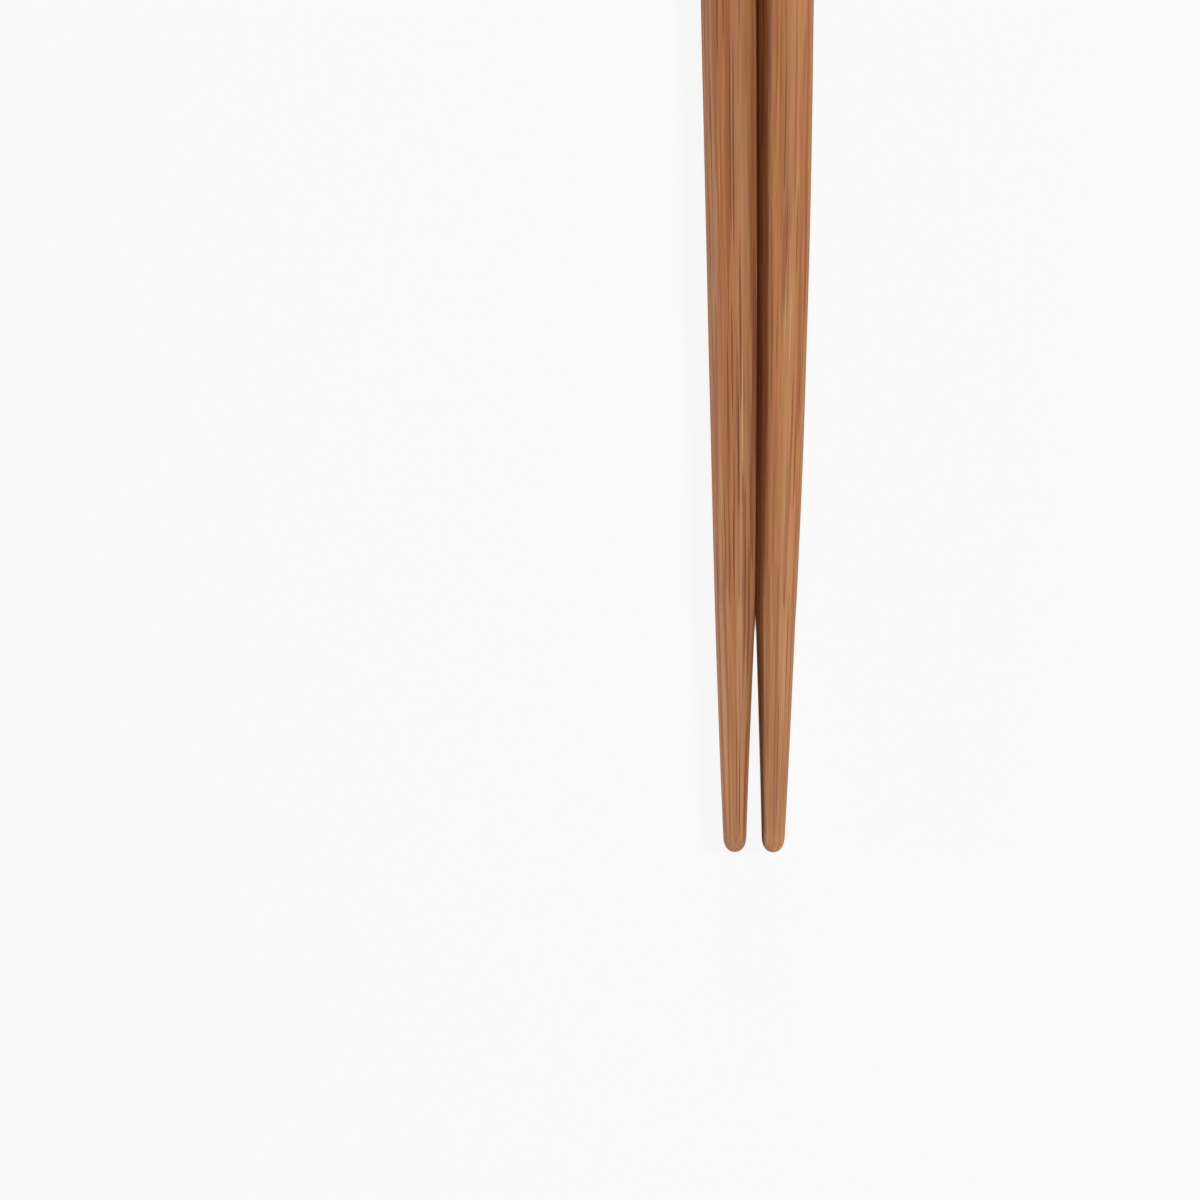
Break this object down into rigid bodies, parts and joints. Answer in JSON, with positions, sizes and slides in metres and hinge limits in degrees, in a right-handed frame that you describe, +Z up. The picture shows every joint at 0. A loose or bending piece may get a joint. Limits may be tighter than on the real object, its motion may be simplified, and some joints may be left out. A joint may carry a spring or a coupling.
{
  "type": "pair of bamboo chopsticks",
  "caption": "Round carbonised bamboo chopsticks for eating: straight shanks, long tapers to slim domed tips and flat eased heads, laid side by side with the tips together.",
  "frame": {"origin": "on the table the pair lies on, under the middle of the pair's box", "axes": "+Y along the pair from the tips to the heads; +Z up from the table; +X to the right for someone at the tips looking along +Y"},
  "size_m": [0.0154, 0.24, 0.006],
  "materials": {
    "bamboo_left": "satin",
    "bamboo_right": "satin"
  },
  "bodies": {
    "root": {"chopstick_left": "bamboo_left", "chopstick_right": "bamboo_right"}
  },
  "joints": []
}
